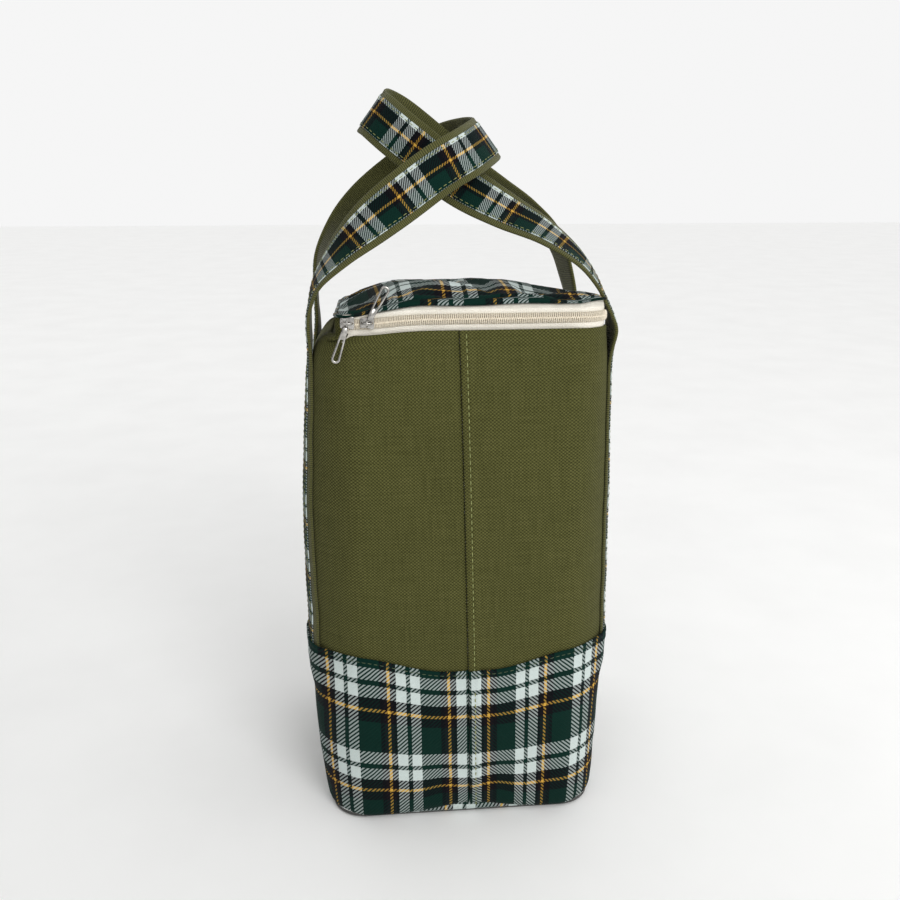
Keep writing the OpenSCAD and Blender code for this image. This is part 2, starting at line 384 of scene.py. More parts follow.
def webbing_cloth(name):
    n = Nodes(name)
    u, v, base = n.cloth()
    rib = n.wave(u, 1.25 * MM)
    chevron = n.wave(n.plus(n.math("ABSOLUTE", v), u), 2.2 * MM)
    fleck = n.noise(base, 2200, 3)
    colour = n.ramp(n.plus(n.times(rib, 0.72), n.times(fleck, 0.28)),
                    [(0.15, lin(54, 56, 24)), (0.55, lin(78, 78, 37)), (0.9, lin(98, 97, 52))], False)
    colour = n.shade(colour, n.noise(base, 60, 3), 0.88, 1.10)
    height = n.plus(n.times(rib, 0.8), n.times(chevron, 0.25))
    n.bumps(n.plus(height, n.times(fleck, 0.4)), 0.35 * MM, 0.9)
    n.set(Base_Color=colour, Roughness=n.affine(fleck, 0.15, 0.72))
    n.set(Sheen_Weight=0.12, Sheen_Roughness=0.5, Specular_IOR_Level=0.25)
    return n.material


def tape_cloth(name):
    n = Nodes(name)
    u, v, base = n.cloth()
    rib = n.wave(v, 0.9 * MM)
    cross = n.wave(u, 0.8 * MM)
    fleck = n.noise(base, 1500, 3)
    colour = n.ramp(fleck, [(0.25, lin(224, 215, 198)), (0.55, lin(244, 239, 226)),
                            (0.8, lin(253, 250, 242))], False)
    colour = n.shade(colour, n.noise(base, 70, 3), 0.90, 1.05)
    n.bumps(n.plus(n.times(rib, cross), n.times(fleck, 0.4)), 0.25 * MM, 0.7)
    n.set(Base_Color=colour, Roughness=n.affine(fleck, 0.12, 0.62))
    n.set(Sheen_Weight=0.10, Sheen_Roughness=0.4)
    return n.material


def plain(name, low, high, rough, scale=300, depth=0.1, metallic=0.0):
    """Noise-varied finish for small moulded, foamed, threaded or plated pieces."""
    n = Nodes(name)
    grain = n.noise(n.here(), scale, 4)
    n.set(Base_Color=n.ramp(grain, [(0.3, low), (0.7, high)], False), Roughness=n.affine(grain, 0.12, rough))
    n.bumps(grain, depth * MM, 0.5)
    n.set(Metallic=metallic)
    return n.material


def liner_sheet(name):
    n = Nodes(name)
    here = n.here()
    crinkle = n.noise(here, 55, 6, 0.65)
    fine = n.noise(here, 420, 3)
    n.set(Base_Color=n.ramp(crinkle, [(0.3, lin(188, 191, 194)), (0.7, lin(226, 228, 230))], False),
          Roughness=n.affine(fine, 0.2, 0.26))
    n.bumps(n.plus(crinkle, n.times(fine, 0.15)), 1.2 * MM, 0.7)
    n.set(Metallic=0.45)
    return n.material


def floor_finish(name):
    n = Nodes(name)
    grain = n.noise(n.here(), 8, 3)
    n.set(Base_Color=n.ramp(grain, [(0.3, lin(246, 246, 245)), (0.7, lin(250, 250, 249))], False),
          Roughness=0.85)
    return n.material


CANVAS = canvas("olive_canvas")
PLAID = plaid("plaid_twill", u_shift=7.6 * MM, v_shift=-5.4 * MM)
RIBBON_SETT = [(0.0, WHITE), (0.13, NAVY), (0.43, GOLD), (0.50, NAVY), (0.60, GREEN)]
RIBBON_CLOTH = plaid("plaid_ribbon", repeat_u=37 * MM, repeat_v=RIBBON_W, setts=(SETT_X, RIBBON_SETT),
                     twill_pitch=1.8 * MM)
WEBBING = webbing_cloth("olive_webbing")
TAPE = tape_cloth("cream_tape")
COIL = plain("cream_coil", lin(216, 203, 180), lin(240, 230, 210), 0.34, 900, 0.05)
THREAD = plain("olive_thread", lin(112, 118, 66), lin(150, 154, 98), 0.6, 1500, 0.1)
HEM_THREAD = plain("hem_thread", lin(52, 70, 50), lin(92, 106, 74), 0.6, 1500, 0.1)
METAL = plain("plated_metal", lin(142, 140, 136), lin(196, 193, 188), 0.18, 260, 0.03, 1.0)
LINER = liner_sheet("liner_sheet")
FOAM = plain("white_foam", lin(222, 222, 220), lin(244, 244, 242), 0.8, 900, 0.2)
BOARD = plain("board", lin(60, 60, 58), lin(78, 78, 76), 0.7, 400, 0.1)
FLOOR = floor_finish("pale_floor")


# ---- The soft body's surface ----

SIDE_LEN = half_length(HALF, CORNER_R)
FRONT_BELLY = 10 * MM
LEFT_BELLY = 12.5 * MM
RIGHT_BELLY = 7.5 * MM
SHOULDER = 10 * MM
SHOULDER_H = 15 * MM
BACK_SLOPE = 0.105
HINGE_SLOPE = 0.07
RIGHT_SLOPE = 0.065
LEFT_DROOP = 2.4 * MM
FRONT_FLAT = 20 * MM
SEAM_STITCH = 4.0 * MM
BAND_LIFT = 1.4 * MM
# Where the straps run, round from the front seam
FACE_S = (HALF - CORNER_R) + math.pi / 2 * CORNER_R + (HALF - CORNER_R - STRAP_Y)


def settle_back(p):
    """How the soft top sits: the rim sinks towards the back and the left shoulder draws in."""
    high = smooth((p.z - 180 * MM) / (140 * MM))
    left = smooth((-p.x - 20 * MM) / (56 * MM))
    right = smooth((p.x - 20 * MM) / (60 * MM))
    slope = BACK_SLOPE - (BACK_SLOPE - HINGE_SLOPE) * left + RIGHT_SLOPE * right
    behind = p.y + TAPE_HALF
    behind -= FRONT_FLAT * (1 - math.exp(-max(behind, 0.0) / FRONT_FLAT)) * right
    sink = slope * behind * high + LEFT_DROOP * left * smooth((p.z - 260 * MM) / (60 * MM))
    climb = min(max((p.z - BODY_H + SHOULDER_H) / SHOULDER_H, 0.0), 1.0)
    draw = SHOULDER * (1 - math.sqrt(1 - climb * climb)) * smooth((-p.x - 30 * MM) / (52 * MM))
    return Vector((p.x + draw, p.y, p.z - sink))


def fullness(rise, low, sharp):
    """How far a face bulges at a share of its height: 1 at its fullest, 0 at its ends."""
    return math.sin(math.pi * rise ** low) ** sharp if 0 < rise < 1 else 0.0


def body_point(s, z, lift):
    """A point on the outside of the soft wall, s metres round from the front seam, z up."""
    x, y, nx, ny = outline(s, HALF, CORNER_R, CORNER_R)
    rise = min(max(z / BODY_H, 0.0), 1.0)
    front = ny * ny * max(0.0, 1 - (x / HALF) ** 2)
    side = nx * nx * max(0.0, 1 - (y / HALF) ** 2) ** 0.7
    belly = fullness(rise, 0.9, 0.65) * LEFT_BELLY if nx < 0 else fullness(rise, 0.62, 0.8) * RIGHT_BELLY
    push = fullness(rise, 0.8, 0.8) * front * FRONT_BELLY + side * belly
    x += (0.42 - rise) * 8 * MM * ny * ny * max(0.0, 1 - (x / HALF) ** 2) ** 2
    loose = smooth(z / (40 * MM)) * smooth((BODY_H - z) / (40 * MM))
    push += loose * (1.5 * MM * soft_noise(x, y, z * 0.7, 62 * MM) + 0.5 * MM * soft_noise(x, y, z, 21 * MM))
    push -= 0.8 * MM * (1 - smooth(z / (70 * MM)))
    push -= 1.2 * MM * smooth((z - BODY_H + 24 * MM) / (24 * MM))
    return settle_back(Vector((x + nx * (push + lift), y + ny * (push + lift), z)))


def band_top(s):
    """The band's hem stands a little higher at the corners than at the seams."""
    d = min(abs(s), abs(SIDE_LEN - abs(s)))
    return BAND_H + 7 * MM + 9 * MM * smooth((d - 15 * MM) / (55 * MM))


def seam_lift(s, z, side):
    """How far the felled centre seam raises or sinks the cloth, s from the front seam."""
    d = min(abs(s), abs(SIDE_LEN - abs(s)))
    if side > 0:
        raised = 1.0 * MM * (1 - smooth((d - 5.5 * MM) / (2.5 * MM))) * smooth(d / (0.9 * MM) + 0.25)
        pull = 0.45 * MM * bump(d - SEAM_STITCH, 0.9 * MM)
        return raised - pull * (0.7 + 0.3 * math.cos(2 * math.pi * z / (4.2 * MM)))
    return -0.9 * MM * bump(d, 2.4 * MM) + 0.25 * MM * bump(d, 7 * MM) * soft_noise(0, d, z, 9 * MM)


def strap_cover(s, z):
    """How far the band stands off where a strap's end runs under its hem."""
    off = min(abs(abs(s) - FACE_S), abs(abs(s) - SIDE_LEN + FACE_S))
    return 2.4 * MM * math.exp(-(off / (20 * MM)) ** 6) * smooth((z - BAND_H + 22 * MM) / (18 * MM))


def seam_spacing():
    """Places from the front seam to the back seam, closest together at the seams."""
    start = [f * MM for f in (0, 0.35, 0.8, 1.4, 2.2, 3.0, 3.6, 4.4, 5.2, 6.0, 7.0, 8.5, 10.5)]
    plain_len = SIDE_LEN - 2 * start[-1]
    count = int(plain_len / (3.2 * MM))
    middle = [start[-1] + plain_len * i / count for i in range(1, count)]
    return start + middle + [SIDE_LEN - f for f in reversed(start)]


SPACING = seam_spacing()


def pucker(s, z):
    """Slip of the plaid's lines where the centre seam gathers the band."""
    low = smooth((70 * MM - z) / (60 * MM))
    return low * (1.6 * MM * bump(abs(s) - 19 * MM, 7 * MM) - 1.8 * MM * bump(s, 9 * MM)
                  - 1.0 * MM * bump(abs(s) - 38 * MM, 9 * MM))


def wall_panel(name, side, rows, lift, material, seam=1.0, arch=0.0, band=False):
    """A wall cloth from one centre seam to the other. rows are (z, how far that row draws in)."""
    around = SPACING if side > 0 else [-s for s in reversed(SPACING)]
    points, uvs = [], []
    for z, draw in rows:
        line, line_uv = [], []
        for s in around:
            height = z + arch * bump(s, 30 * MM) * (1 - smooth(z / (40 * MM)))
            if band:
                height *= band_top(s) / BAND_H
            cover = strap_cover(s, height) if band else 0.0
            line.append(body_point(s, height, lift - draw + cover + seam * seam_lift(s, z, side)))
            line_uv.append((-abs(s), BAND_H - z + pucker(s, z)) if band else (s, z))
        points.append(line)
        uvs.append(line_uv)
    return grid(name, points, material, uvs, closed=False)


def levels(low, high, step):
    """Even places from low to high, about a step apart."""
    count = max(1, round((high - low) / step))
    return [low + (high - low) * i / count for i in range(count + 1)]


canvas_rows = [(z, 0.0) for z in levels(BAND_H - 14 * MM, BODY_H - 4 * MM, 3 * MM)]
canvas_rows += rows_at(BODY_H, (-2, -0.1), (-0.6, -0.2), (0, 0.3), (-0.2, 1.2), (-2, 1.5))
for side, label in SIDES:
    panel = solidify(wall_panel("canvas_" + label, side, canvas_rows, 0.0, CANVAS), 0.9 * MM)
    place(panel, "bag", "canvas", "canvas_%s_panel" % label)

band_rows = rows_at(0.0, (0.7, 4.4), (1.3, 2.6), (2.4, 1.3), (4, 0.5), (6, 0.1))
band_rows += [(z, 0.0) for z in levels(9 * MM, BAND_H - 8 * MM, 3 * MM)]
# The hem's row of stitches lies in a groove between two ridges of the turned cloth
band_rows += rows_at(BAND_H, (-6.5, -0.1), (-5.4, -0.5), (-4.2, -0.5), (-3.4, -0.15), (-2.6, -0.15),
                     (-1.8, -0.55), (-0.6, -0.5), (0, 0.2), (-0.6, 1.0))
for side, label in SIDES:
    panel = wall_panel("band_" + label, side, band_rows, BAND_LIFT, PLAID, arch=7 * MM, band=True)
    solidify(panel, 0.9 * MM)
    place(panel, "bag", "plaid_cloth", "band_%s_panel" % label)

# Base cloth: turned up inside the band and drawn in to the middle
base_around = [-s for s in reversed(SPACING[1:])] + SPACING[:-1]
base_points = []
for z, draw in rows_at(0.0, (13, 0.2), (8, 0.4), (4, 1.0), (2, 2.4), (0.9, 4.2), (0.5, 8)):
    base_points.append([body_point(s, z, 0.6 * MM - draw) for s in base_around])
underside = base_points[-1]
for share in (0.85, 0.7, 0.5, 0.3, 0.1, 0.01):
    rise = 0.5 * MM + 0.6 * MM * (1 - share)
    base_points.append([Vector((p.x * share, p.y * share, rise)) for p in underside])
base_points.reverse()
place(grid("base_cloth", base_points, PLAID, flat_uvs(base_points)), "bag", "plaid_cloth", "base_panel")

# Foam behind the walls and the crinkled liner bucket
foam_rows = [(z, 0.0) for z in levels(11 * MM, BODY_H - 5 * MM, 9 * MM)]
for side, label in SIDES:
    foam = wall_panel("foam_%s_sheet" % label, side, foam_rows, -1.6 * MM, FOAM, seam=0.0)
    place(solidify(foam, 4.2 * MM), "bag", "foam", "foam_" + label)

LINER_R = 22 * MM
LINER_LEN = half_length(LINER_HALF, LINER_R)


def liner_bucket():
    points = []
    for z in levels(BODY_H + 2.5 * MM, FLOOR_Z + 8 * MM, 5 * MM) + [FLOOR_Z + 3 * MM, FLOOR_Z + 0.8 * MM]:
        line = []
        for s in evenly(LINER_LEN, 220):
            x, y, nx, ny = outline(s, LINER_HALF, LINER_R, LINER_R)
            crinkle = 1.2 * MM * soft_noise(x, y, z, 34 * MM) + 0.6 * MM * soft_noise(x, y, z, 13 * MM)
            lift = smooth((BODY_H - z) / (20 * MM)) * crinkle - 1.0 * MM
            lift -= 2.5 * MM * (1 - smooth((z - FLOOR_Z) / (7 * MM)))
            line.append(settle_back(Vector((x + nx * lift, y + ny * lift, z))))
        points.append(line)
    floor_line = points[-1]
    for share in (0.92, 0.75, 0.5, 0.25, 0.02):
        line = []
        for p in floor_line:
            x, y = p.x * share, p.y * share
            line.append(Vector((x, y, FLOOR_Z + 0.6 * MM + 0.5 * MM * soft_noise(x, y, 0, 30 * MM))))
        points.append(line)
    return grid("liner_bucket", points, LINER, flat_uvs(points))


place(liner_bucket(), "bag", "liner", "liner_wall", "liner_base")

# Rim: the turned edge between the canvas and the tape
rim_points, rim_uv = [], []
for share in (0.0, 0.25, 0.5, 0.75, 1.0):
    line = []
    for s in evenly(SIDE_LEN, 240):
        outer = body_point(s, BODY_H - 1.0 * MM, -1.6 * MM)
        x, y, nx, ny = outline(s * LINER_LEN / SIDE_LEN, LINER_HALF, LINER_R, LINER_R)
        inner = settle_back(Vector((x - nx * 0.9 * MM, y - ny * 0.9 * MM, BODY_H + 2.4 * MM)))
        p = outer.lerp(inner, share)
        p.z += 0.9 * MM * math.sin(math.pi * share) - 1.0 * MM * (1 - share)
        line.append(p)
    rim_points.append(line)
    rim_uv.append([(SIDE_LEN + s, share * 7 * MM) for s in evenly(SIDE_LEN, 240)])
place(grid("rim_edge", rim_points, CANVAS, rim_uv), "bag", "canvas", "rim_binding")


# ---- Zip ----

ZIP_RIGHT_LEN = half_length(TAPE_HALF, LID_R)
# The drawn-in left shoulder brings the zip's ends round the hinge corners
ZIP_START = ZIP_LEFT - 6 * MM
ZIP_END = ZIP_RIGHT_LEN - ZIP_START
EDGE_DROP = 3.4 * MM
TAPE_SLANT = 6 * MM


def zip_point(s, z, out):
    """A point out from the zip's line, s metres round from the middle of the front."""
    x, y, nx, ny = outline(s, TAPE_HALF, LID_HINGE_R, LID_R)
    if s > ZIP_RIGHT_LEN:
        x, y, nx, ny = outline(ZIP_RIGHT_LEN - s, TAPE_HALF, LID_HINGE_R, LID_R)
        y, ny = -y, -ny
    return settle_back(Vector((x + nx * out, y + ny * out, z)))


def ripple(s, seed, scale=19 * MM):
    return soft_noise(s, seed, 0.3, scale)


def lid_edge_z(s):
    """Height of the plaid's lower edge: lower at the left, with the wave of a hand-sewn seam."""
    x, y = outline(s, LID_HALF, LID_HINGE_R, LID_R)[:2]
    left = smooth((-x / HALF - 0.25) / 0.75)
    corner = smooth((x - 66 * MM) / (14 * MM)) * smooth((-y - 60 * MM) / (14 * MM))
    sewn = LID_EDGE - EDGE_DROP * left + 1.1 * MM * ripple(s, 3.0, 26 * MM)
    return sewn + 0.7 * MM * (1 - left) + 2 * MM * corner


def tape(name, rows, edge_rows, seed, body, node):
    """Woven tape through rows of (height, outward, waviness); edge_rows count from the lid's edge."""
    count = int((ZIP_END - ZIP_START) / (2.2 * MM))
    points, uvs = [], []
    for z, out, wave in rows + edge_rows:
        on_lid = (z, out, wave) in edge_rows
        cut = 0.0 if on_lid else TAPE_SLANT * smooth((BODY_H + 2.6 * MM - z) / (3 * MM))
        line, line_uv = [], []
        for i in range(count + 1):
            s = ZIP_START + cut + (ZIP_END - ZIP_START - 2 * cut) * i / count
            sway = wave * (0.9 * MM * ripple(s, seed) + 0.35 * MM * ripple(s, seed + 5, 8 * MM))
            level = z + lid_edge_z(s) if on_lid else z
            line.append(zip_point(s, level + sway * 0.3, out + sway))
            line_uv.append((s, z))
        points.append(line)
        uvs.append(line_uv)
    place(solidify(grid(name, points, TAPE, uvs, closed=False), 0.5 * MM), body, "zip_tape", node)


lower_rows = rows_at(BODY_H, (-4, -0.3, 0), (-1, 0, 0.1), (1, 0.4, 0.5), (2.4, 0.4, 0.6))
lower_rows += rows_at(ZIP_Z, (-2.6, 0, 0.1), (-0.5, 0, 0))
tape("tape_lower", lower_rows, [], 1.0, "bag", "zip_tape_body")
upper_rows = rows_at(ZIP_Z, (0.5, 0, 0), (2.6, 0, 0.1), (4.6, 0.3, 0.9), (5.6, 0.2, 0.9))
sewn_rows = rows_at(0.0, (-0.6, -0.5, 0.4), (0.4, -1.4, 0.1))
tape("tape_upper", upper_rows, sewn_rows, 7.0, "lid", "zip_tape_lid")

COIL_PITCH = 1.25 * MM
COIL_END_GAP = 2.2 * MM
# One loop of the coil, its free end first: along the tape, outward, half thickness, all in millimetres
COIL_LOOP = ((-3.2, 0.15, 0.34), (-2.9, 1.0, 0.42), (-2.0, 1.55, 0.42), (-0.6, 1.75, 0.44), (0.3, 1.6, 0.56),
             (0.75, 0.9, 0.5), (0.45, 0.25, 0.4))


def coil(name, direction, body, node):
    """Interlocking loops of the coil: each one stands on the tape and reaches past the middle."""
    start = ZIP_START + COIL_END_GAP
    count = int((ZIP_END - COIL_END_GAP - start) / COIL_PITCH)
    verts, faces = [], []
    for i in range(count):
        s = start + COIL_PITCH * (i + (0.5 if direction > 0 else 0.0))
        first = len(verts)
        for along, out, thick in COIL_LOOP:
            z = ZIP_Z - direction * along * MM
            for ds, dn in ((-1, 0), (0, 1), (1, 0), (0, -1)):
                verts.append(zip_point(s + ds * thick * MM, z, (out + dn * 0.28) * MM + 0.1 * MM))
        last = len(verts) - 4
        quads = [(a, b, b + 4, a + 4) for a, b in ring_edges(first, last, 4)]
        quads.append((first + 3, first + 2, first + 1, first))
        quads.append((last, last + 1, last + 2, last + 3))
        faces += [quad if direction < 0 else quad[::-1] for quad in quads]
    place(make_object(name, verts, faces, COIL), body, "zip_coil", node)


coil("coil_lower", -1, "bag", "zip_coil_body")
coil("coil_upper", 1, "lid", "zip_coil_lid")


# ---- Lid ----

CROWN = 6.5 * MM
CROWN_REACH = 24 * MM
LEFT_FLAT = 3.2 * MM
RIGHT_FLAT = 5.0 * MM
LID_WALL = 4.6 * MM
SEAM_SLIP = 9 * MM
LID_AROUND = 256
# Rows from the edge that the settling leaves alone, and the row that the padding starts at
PINNED_ROWS = 7
PADDING_ROW = 8


def inner_share(inset):
    """Scale that draws the lid's outline in by some millimetres."""
    return max(0.001, 1 - inset * MM / LID_HALF)


def flattening(x):
    """How far the lid's top sinks towards its left and right ends."""
    return (LEFT_FLAT if x < 0 else RIGHT_FLAT) * min(abs(x) / LID_HALF, 1.0) ** 2


def lid_surface():
    """Plaid lid cloth: a turned skirt round the edge, then rings of the top towards its middle."""
    skirt = [(1.2, 0.6), (0.1, 0.0), (-0.25, 0.9), (-0.3, 1.9), (0.1, 3.1), (1.5, 3.7)]
    insets = [2.0, 3.6, 5.6, 8, 11, 14.5, 18.5, 23, 28, 33, 38, 43, 48, 53, 58, 63, 68, 73, 78, 82, 85.5, 87]
    ring = lid_ring(LID_HALF, LID_AROUND)
    points, uvs = [], []
    for draw, up in skirt:
        line = []
        for s, x, y, nx, ny in ring:
            level = lid_edge_z(s) + up * MM * max(0.12, 1 - flattening(x) / LID_WALL)
            line.append(settle_back(Vector((x - nx * draw * MM, y - ny * draw * MM, level))))
        points.append(line)
    for inset in insets:
        line = []
        share = inner_share(inset)
        crown = CROWN * (1 - math.exp(-inset * MM / CROWN_REACH))
        for s, x, y, _, _ in ring:
            px, py = x * share, y * share
            rise = crown + (LID_WALL - flattening(px)) * smooth(inset / 2.6)
            edge = lid_edge_z(s) * (1 - smooth(inset / 40)) + LID_EDGE * smooth(inset / 40)
            pucker = 0.9 * MM * soft_noise(px, py, 0.0, 33 * MM) + 0.5 * MM * soft_noise(px, py, 0.2, 14 * MM)
            line.append(settle_back(Vector((px, py, edge + rise + smooth(inset / 10) * pucker))))
        points.append(line)
    # The plaid's lines run on down the skirt, a little aside of those on top
    falls = [max(0.0, 5.5 - up) for _, up in skirt] + [max(0.0, 3.5 - inset) * 0.6 for inset in insets]
    slips = [SEAM_SLIP] * len(skirt) + [0.0] * len(insets)
    for line, fall, slip in zip(points, falls, slips):
        uvs.append([(p.x + nx * fall * MM + slip, 11 * MM - p.y - ny * fall * MM)
                    for p, (_, _, _, nx, ny) in zip(line, ring)])
    return grid("lid_top", points, PLAID, uvs)


def settle(obj, pinned, shrink, pressure, frames, cap):
    """Lets cloth find its folds round pinned points, then keeps the shape as the mesh."""
    group = obj.vertex_groups.new(name="pinned")
    rest = [v.co.copy() for v in obj.data.vertices]
    group.add(pinned, 1.0, "REPLACE")
    mod = obj.modifiers.new("settle", "CLOTH")
    mod.settings.vertex_group_mass = "pinned"
    mod.settings.quality = 6
    mod.settings.mass = 0.25
    mod.settings.tension_stiffness = 18
    mod.settings.compression_stiffness = 18
    mod.settings.bending_stiffness = 0.6
    mod.settings.shrink_min = shrink
    mod.settings.shrink_max = shrink
    mod.settings.use_pressure = True
    mod.settings.uniform_pressure_force = pressure
    mod.settings.effector_weights.gravity = 0.0
    mod.collision_settings.use_collision = False
    mod.point_cache.frame_start = 1
    mod.point_cache.frame_end = frames
    scene = bpy.context.scene
    for f in range(1, frames + 1):
        scene.frame_set(f)
    shaped = obj.evaluated_get(bpy.context.evaluated_depsgraph_get())
    moved = [v.co.copy() for v in shaped.data.vertices]
    obj.modifiers.remove(mod)
    scene.frame_set(1)
    for v, a, b in zip(obj.data.vertices, rest, moved):
        step = b - a
        if step.length > cap:
            step *= cap / step.length
        v.co = a + step
    obj.vertex_groups.clear()


lid_top = lid_surface()
edge_points = list(range(LID_AROUND * PINNED_ROWS))
settle(lid_top, edge_points, shrink=-0.03, pressure=0.35, frames=16, cap=5 * MM)

# The padding follows the settled cloth from the inside
first = LID_AROUND * PADDING_ROW
pad_verts = [v.co - Vector((0, 0, 1.6 * MM)) for v in lid_top.data.vertices[first:]]
pad_faces = [[v - first for v in f.vertices] for f in lid_top.data.polygons if min(f.vertices) >= first]
lid_pad = solidify(make_object("lid_padding", pad_verts, pad_faces, FOAM), 1.2 * MM)

solidify(lid_top, 0.9 * MM)
place(lid_top, "lid", "plaid_cloth", "lid_panel")
place(lid_pad, "lid", "foam", "lid_foam")

# Liner on the underside of the lid, gathered a little at its edge
under_points = []
for inset in [0, 0.6, 1.5, 4, 8, 13, 20, 28, 37, 47, 57, 67, 77, 84, 87]:
    line = []
    for _, x, y, _, _ in lid_ring(LID_HALF - 2.4 * MM, 200):
        px, py = x * inner_share(inset), y * inner_share(inset)
        sag = -0.5 * MM * smooth(inset / 10) + 0.6 * MM * soft_noise(px, py, 0.5, 18 * MM) * smooth(inset / 6)
        drop = 1.6 * MM * (1 - smooth(inset / 1.5)) - 0.8 * flattening(px)
        line.append(settle_back(Vector((px, py, COIL_TOP + 1.9 * MM + sag + drop))))
    under_points.append(line)
under_points.reverse()
place(grid("lid_lining", under_points, LINER, flat_uvs(under_points)), "lid", "liner", "lid_liner")

# Hinge cloth along the left side, round both left corners
HINGE_TOP = LID_EDGE - EDGE_DROP
HINGE_LAP = 3 * MM
HINGE_FROM = 80 * MM
HINGE_LEN = half_length(TAPE_HALF, LID_HINGE_R)
hinge_points, hinge_uv = [], []
for up in levels(0.0, 1.0, 0.1):
    line, line_uv = [], []
    z = BODY_H - HINGE_LAP + up * (HINGE_TOP + 0.4 * MM - BODY_H + HINGE_LAP)
    for i in range(120, -1, -1):
        s = -(HINGE_FROM + (HINGE_LEN - 2 * HINGE_FROM) * i / 120)
        x, y, nx, ny = outline(s, TAPE_HALF, LID_HINGE_R, LID_R)
        out = 1.0 * MM * math.sin(math.pi * up) + 0.5 * MM * up + 0.3 * MM * soft_noise(y, z, 0, 15 * MM)
        ends = bump(s + HINGE_FROM, 6 * MM) + bump(s + HINGE_LEN - HINGE_FROM, 6 * MM)
        out -= 0.4 * MM + 1.0 * MM * ends
        line.append(settle_back(Vector((x + nx * out, y + ny * out, z))))
        line_uv.append((y, z))
    hinge_points.append(line)
    hinge_uv.append(line_uv)
hinge_cloth = solidify(grid("hinge_cloth", hinge_points, CANVAS, hinge_uv, closed=False), 0.8 * MM)
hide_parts("lid_hinge_strip")
# A rise up the hinge cloth, along the hinge's slope
rise = (HINGE_TOP - BODY_H - HINGE_LAP) / (1 + HINGE_SLOPE ** 2) * Vector((0.0, HINGE_SLOPE, 1.0))
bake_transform(hinge_cloth)


# ---- Straps ----

WEB_T = 1.0 * MM
# Near half of each loop, root to top: x, y, z in millimetres and degrees of twist
ROUTES = {
    -1: [(-92.4, -57, 300, 0), (-92.6, -57, 314, 0), (-92.6, -57, 328, 0), (-91.5, -58, 341, 2),
         (-86, -60, 357, 12), (-71, -62, 375, 35), (-53, -61, 391, 60), (-33, -57, 406, 80),
         (-13, -52, 420, 90), (5, -44, 430, 90), (17, -25, 437, 90), (21, 0, 440, 90)],
    1: [(92.4, -57, 300, 0), (93.8, -57, 315, 0), (94.4, -57, 328, 4), (89, -58, 343, 10),
        (81, -60, 357, 14), (70, -58, 370, 20), (51, -52, 384, 32), (28, -43, 396, 50),
        (4, -34, 410, 68), (-18, -28, 427, 84), (-37, -22, 442, 90), (-48, -12, 452, 90), (-51, 0, 455, 90)],
}
# Lean of a loop's top from upright
LEAN = math.radians(37)


def between(a, b, c, d, t):
    """Smooth curve from b to c that also heeds their neighbours."""
    curve = (2 * a - 5 * b + 4 * c - d) * t * t + (3 * b - a - 3 * c + d) * t ** 3
    return 0.5 * (2 * b + (c - a) * t + curve)


def loop_frames(side):
    """Centre, across, outward and whether on the near half, along the whole free loop."""
    half_route = [Vector(p[:3]) * MM for p in ROUTES[side]]
    twist = [p[3] for p in ROUTES[side]]
    points = half_route + [Vector((p.x, -p.y, p.z)) for p in reversed(half_route[:-1])]
    twists = twist + twist[-2::-1]
    n = len(points)
    for i in range(len(half_route) - 1, n):
        slack = smooth((points[i].z - 328 * MM) / (40 * MM)) * min(1.0, 0.45 * (i - len(half_route) + 1))
        points[i] = points[i] + Vector((side * 4 * MM, 0, (10 if side > 0 else 8) * MM)) * slack
    samples = []
    for i in range(n - 1):
        knots = (max(i - 1, 0), i, i + 1, min(i + 2, n - 1))
        steps = max(2, round((points[i + 1] - points[i]).length / (2.6 * MM)))
        for k in range(steps):
            t = k / steps
            near = (i + t) < (n - 1) / 2
            point = between(*(points[q] for q in knots), t)
            turn = between(*(twists[q] for q in knots), t)
            samples.append((point, turn, near))
    samples.append((points[-1], twists[-1], False))
    frames = []
    for i, (p, tw, near) in enumerate(samples):
        q0, q1 = samples[max(i - 1, 0)][0], samples[min(i + 1, len(samples) - 1)][0]
        t = (q1 - q0).normalized()
        angle = math.radians(tw)
        turned = math.sin(angle)
        flat = math.cos(angle) if near else -math.cos(angle)
        w = Vector((side * math.sin(LEAN) * turned, flat, math.cos(LEAN) * turned))
        w = (w - t * w.dot(t)).normalized()
        frames.append((p, w, -side * t.cross(w), near))
    return frames


def strap_rows(side, profile):
    """Rows of cross-section points from band to band over the top, and the length up to each row."""
    rows, lengths = [], []
    root = ROUTES[side][0][2] * MM

    def run_point(across, out, z, near):
        p = body_point(side * (FACE_S + across), z, 1.1 * MM + out)
        return p if near else Vector((p.x, -p.y, p.z))

    up = levels(BAND_H - 8 * MM, root, 4 * MM)[:-1]
    for z in up:
        rows.append([run_point(a, o, z, True) for a, o in profile])
    for p, w, out_dir, near in loop_frames(side):
        free = smooth((p.z - root) / (28 * MM))
        row = []
        for a, o in profile:
            loose = p + w * a + out_dir * o
            if free < 1:
                loose = run_point(a, o, p.z, near).lerp(loose, free)
            row.append(loose)
        rows.append(row)
    for z in reversed(up):
        rows.append([run_point(a, o, z, False) for a, o in profile])
    total = 0.0
    for before, row in zip(rows[:1] + rows, rows):
        total += (row[0] - before[0]).length * 0.5 + (row[-1] - before[-1]).length * 0.5
        lengths.append(total)
    return rows, lengths


def band_section(half_w, low, high, edge):
    """Cross-section of a woven band with softly rounded edges, as (across, out) pairs."""
    flat = [-half_w + edge, *(half_w * k for k in (-0.66, -0.33, 0.0, 0.33, 0.66)), half_w - edge]
    mid = (low + high) / 2
    right = [(half_w, mid + (high - mid) * 0.45), (half_w, mid - (mid - low) * 0.45)]
    left = [(-a, z) for a, z in reversed(right)]
    return [(a, high) for a in flat] + right + [(a, low) for a in reversed(flat)] + left


